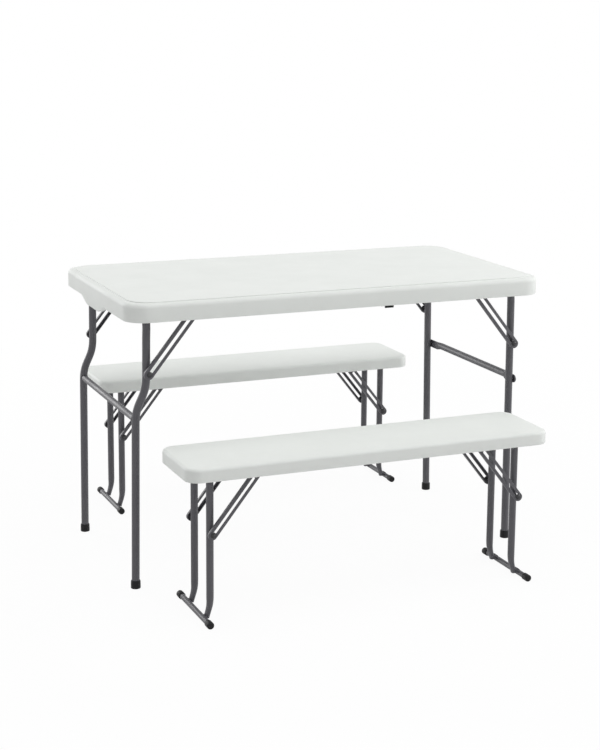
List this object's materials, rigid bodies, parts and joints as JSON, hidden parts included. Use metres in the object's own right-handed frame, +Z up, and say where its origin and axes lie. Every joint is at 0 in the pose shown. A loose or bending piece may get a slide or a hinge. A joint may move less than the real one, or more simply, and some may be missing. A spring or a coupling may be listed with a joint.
{
  "type": "folding table with benches",
  "caption": "Folding dining table with a moulded plastic top on hinged steel hoops with slotted locking braces, and matching loose folding benches along both sides.",
  "frame": {"origin": "on the floor, below the middle of the table", "axes": "+X along the table towards its straight-legged end, +Y across it towards the rear bench, +Z up"},
  "size_m": [1.15, 1.136, 0.74],
  "materials": {
    "moulded_plastic": "fine grained white moulded polyethylene",
    "coated_steel": "dark grey powder coat",
    "black_cap": "matt black moulded plastic"
  },
  "bodies": {
    "table_top": {"table_top": "moulded_plastic", "table_leg_clip": "black_cap", "table_saddle_left_near": "coated_steel", "table_bracket_left_near": "coated_steel", "table_saddle_left_far": "coated_steel", "table_bracket_left_far": "coated_steel", "table_saddle_right_near": "coated_steel", "table_bracket_right_near": "coated_steel", "table_saddle_right_far": "coated_steel", "table_bracket_right_far": "coated_steel"},
    "table_legs_left": {"table_hoop_left": "coated_steel", "table_crossbar_left": "coated_steel", "table_foot_left_near": "black_cap", "table_foot_left_far": "black_cap"},
    "table_braces_left": {"table_brace_left_near": "coated_steel", "table_brace_left_far": "coated_steel"},
    "table_legs_right": {"table_hoop_right": "coated_steel", "table_crossbar_right": "coated_steel", "table_foot_right_near": "black_cap", "table_foot_right_far": "black_cap"},
    "table_braces_right": {"table_brace_right_near": "coated_steel", "table_brace_right_far": "coated_steel"},
    "front_bench": {"front_bench_seat": "moulded_plastic", "front_bench_saddle_left": "coated_steel", "front_bench_bracket_left_near": "coated_steel", "front_bench_bracket_left_far": "coated_steel", "front_bench_saddle_right": "coated_steel", "front_bench_bracket_right_near": "coated_steel", "front_bench_bracket_right_far": "coated_steel"},
    "front_bench_legs_left": {"front_bench_hoop_left": "coated_steel", "front_bench_foot_bar_left": "coated_steel", "front_bench_foot_cap_left_near": "black_cap", "front_bench_foot_cap_left_far": "black_cap"},
    "front_bench_braces_left": {"front_bench_brace_left_near": "coated_steel", "front_bench_brace_left_far": "coated_steel"},
    "front_bench_legs_right": {"front_bench_hoop_right": "coated_steel", "front_bench_foot_bar_right": "coated_steel", "front_bench_foot_cap_right_near": "black_cap", "front_bench_foot_cap_right_far": "black_cap"},
    "front_bench_braces_right": {"front_bench_brace_right_near": "coated_steel", "front_bench_brace_right_far": "coated_steel"},
    "rear_bench": {"rear_bench_seat": "moulded_plastic", "rear_bench_saddle_left": "coated_steel", "rear_bench_bracket_left_near": "coated_steel", "rear_bench_bracket_left_far": "coated_steel", "rear_bench_saddle_right": "coated_steel", "rear_bench_bracket_right_near": "coated_steel", "rear_bench_bracket_right_far": "coated_steel"},
    "rear_bench_legs_left": {"rear_bench_hoop_left": "coated_steel", "rear_bench_foot_bar_left": "coated_steel", "rear_bench_foot_cap_left_near": "black_cap", "rear_bench_foot_cap_left_far": "black_cap"},
    "rear_bench_braces_left": {"rear_bench_brace_left_near": "coated_steel", "rear_bench_brace_left_far": "coated_steel"},
    "rear_bench_legs_right": {"rear_bench_hoop_right": "coated_steel", "rear_bench_foot_bar_right": "coated_steel", "rear_bench_foot_cap_right_near": "black_cap", "rear_bench_foot_cap_right_far": "black_cap"},
    "rear_bench_braces_right": {"rear_bench_brace_right_near": "coated_steel", "rear_bench_brace_right_far": "coated_steel"}
  },
  "joints": [
    {"name": "table_legs_left_fold", "type": "hinge", "parent": "table_top", "child": "table_legs_left", "pos_m": [-0.512, 0, 0.706], "axis": [0, -1, 0], "range_deg": [0, 90]},
    {"name": "table_braces_left_fold", "type": "hinge", "parent": "table_top", "child": "table_braces_left", "pos_m": [-0.392, 0, 0.706], "axis": [0, -1, 0], "range_deg": [0, 128.47]},
    {"name": "table_legs_right_fold", "type": "hinge", "parent": "table_top", "child": "table_legs_right", "pos_m": [0.512, 0, 0.706], "axis": [0, 1, 0], "range_deg": [0, 90]},
    {"name": "table_braces_right_fold", "type": "hinge", "parent": "table_top", "child": "table_braces_right", "pos_m": [0.392, 0, 0.706], "axis": [0, 1, 0], "range_deg": [0, 128.47]},
    {"name": "front_bench_slide", "type": "slide", "parent": "table_top", "child": "front_bench", "axis": [0, -1, 0], "range_m": [-0.06, 0.25]},
    {"name": "front_bench_legs_left_fold", "type": "hinge", "parent": "front_bench", "child": "front_bench_legs_left", "pos_m": [-0.443, -0.452, 0.365], "axis": [0, -1, 0], "range_deg": [0, 90]},
    {"name": "front_bench_braces_left_fold", "type": "hinge", "parent": "front_bench", "child": "front_bench_braces_left", "pos_m": [-0.328, -0.452, 0.365], "axis": [0, -1, 0], "range_deg": [0, 128.42]},
    {"name": "front_bench_legs_right_fold", "type": "hinge", "parent": "front_bench", "child": "front_bench_legs_right", "pos_m": [0.381, -0.452, 0.365], "axis": [0, 1, 0], "range_deg": [0, 90]},
    {"name": "front_bench_braces_right_fold", "type": "hinge", "parent": "front_bench", "child": "front_bench_braces_right", "pos_m": [0.266, -0.452, 0.365], "axis": [0, 1, 0], "range_deg": [0, 128.42]},
    {"name": "rear_bench_slide", "type": "slide", "parent": "table_top", "child": "rear_bench", "axis": [0, 1, 0], "range_m": [-0.06, 0.25]},
    {"name": "rear_bench_legs_left_fold", "type": "hinge", "parent": "rear_bench", "child": "rear_bench_legs_left", "pos_m": [-0.39, 0.452, 0.365], "axis": [0, -1, 0], "range_deg": [0, 90]},
    {"name": "rear_bench_braces_left_fold", "type": "hinge", "parent": "rear_bench", "child": "rear_bench_braces_left", "pos_m": [-0.275, 0.452, 0.365], "axis": [0, -1, 0], "range_deg": [0, 128.42]},
    {"name": "rear_bench_legs_right_fold", "type": "hinge", "parent": "rear_bench", "child": "rear_bench_legs_right", "pos_m": [0.434, 0.452, 0.365], "axis": [0, 1, 0], "range_deg": [0, 90]},
    {"name": "rear_bench_braces_right_fold", "type": "hinge", "parent": "rear_bench", "child": "rear_bench_braces_right", "pos_m": [0.319, 0.452, 0.365], "axis": [0, 1, 0], "range_deg": [0, 128.42]}
  ],
  "couplings": [
    {"joint": "table_braces_left_fold", "follows": "table_legs_left_fold", "ratio": 1.4275},
    {"joint": "table_braces_right_fold", "follows": "table_legs_right_fold", "ratio": 1.4275},
    {"joint": "front_bench_braces_left_fold", "follows": "front_bench_legs_left_fold", "ratio": 1.4269},
    {"joint": "front_bench_braces_right_fold", "follows": "front_bench_legs_right_fold", "ratio": 1.4269},
    {"joint": "rear_bench_braces_left_fold", "follows": "rear_bench_legs_left_fold", "ratio": 1.4269},
    {"joint": "rear_bench_braces_right_fold", "follows": "rear_bench_legs_right_fold", "ratio": 1.4269}
  ]
}
